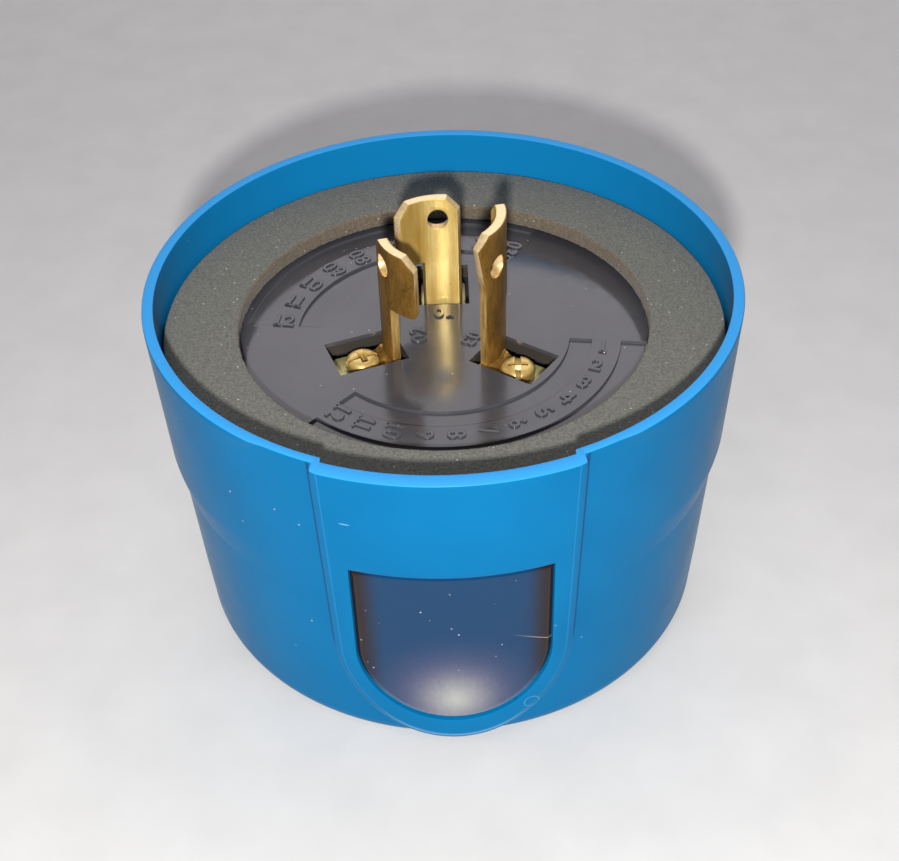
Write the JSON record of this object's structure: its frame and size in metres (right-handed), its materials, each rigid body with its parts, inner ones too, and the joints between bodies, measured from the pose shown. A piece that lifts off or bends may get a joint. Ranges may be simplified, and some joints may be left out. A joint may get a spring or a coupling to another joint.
{
  "type": "twist-lock photocontrol",
  "caption": "Round street-light photocontrol with brass locking blades, foam gasket, date rings, drafted blue housing and a smoked sensor window.",
  "frame": {"origin": "centre of the flat end of the dome, which the control rests on", "axes": "+Z from the dome up through the open rim and the blades, -Y towards the sensor window, +X to the right of the window"},
  "size_m": [0.0832, 0.0846, 0.0648],
  "materials": {
    "housing": "satin",
    "lens": "gloss",
    "base_plastic": "gloss",
    "foam": "matt",
    "blade_brass": "satin",
    "screw_brass": "satin",
    "wire_insulation": "satin",
    "inner_plastic": "matt",
    "board": "satin",
    "steel": "satin",
    "sensor": "satin",
    "film_box": "satin",
    "capacitor_sleeve": "satin",
    "varistor_coat": "satin",
    "diode_body": "satin",
    "resistor_body": "satin",
    "relay_case": "satin",
    "bobbin": "satin",
    "coil": "gloss",
    "spring_bronze": "satin",
    "contact_silver": "satin"
  },
  "bodies": {
    "control": {"housing": "housing", "window_lens": "lens", "base_plate": "base_plastic", "gasket": "foam", "blade_load": "blade_brass", "blade_line": "blade_brass", "blade_neutral": "blade_brass", "terminal_screw_load": "screw_brass", "terminal_nut_load": "screw_brass", "wire_load": "wire_insulation", "terminal_screw_line": "screw_brass", "terminal_nut_line": "screw_brass", "wire_line": "wire_insulation", "terminal_screw_neutral": "screw_brass", "terminal_nut_neutral": "screw_brass", "wire_neutral": "wire_insulation", "terminal_carrier": "inner_plastic", "sensor_holder": "inner_plastic", "relay_base": "inner_plastic", "circuit_board": "board", "carrier_screw_1": "steel", "carrier_screw_2": "steel", "carrier_screw_3": "steel", "board_screw_1": "steel", "board_screw_2": "steel", "board_screw_3": "steel", "relay_yoke": "steel", "relay_core": "steel", "light_sensor": "sensor", "film_capacitor": "film_box", "filter_capacitor": "capacitor_sleeve", "varistor": "varistor_coat", "diode_1": "diode_body", "diode_2": "diode_body", "diode_3": "diode_body", "diode_4": "diode_body", "resistor_1": "resistor_body", "resistor_2": "resistor_body", "resistor_3": "resistor_body", "relay_case": "relay_case", "relay_bobbin": "bobbin", "relay_coil": "coil", "relay_hinge_spring": "spring_bronze", "relay_fixed_bracket": "spring_bronze", "relay_fixed_contact": "contact_silver"},
    "armature": {"relay_armature": "steel", "relay_contact_spring": "spring_bronze", "relay_moving_contact": "contact_silver"}
  },
  "joints": [
    {"name": "relay_armature_hinge", "type": "hinge", "parent": "control", "child": "armature", "pos_m": [-0.0052, 0.005, 0.0163], "axis": [0, 1, 0], "range_deg": [0, 3], "stiffness_Nm_per_rad": 0.01, "springref_deg": -5.73}
  ]
}
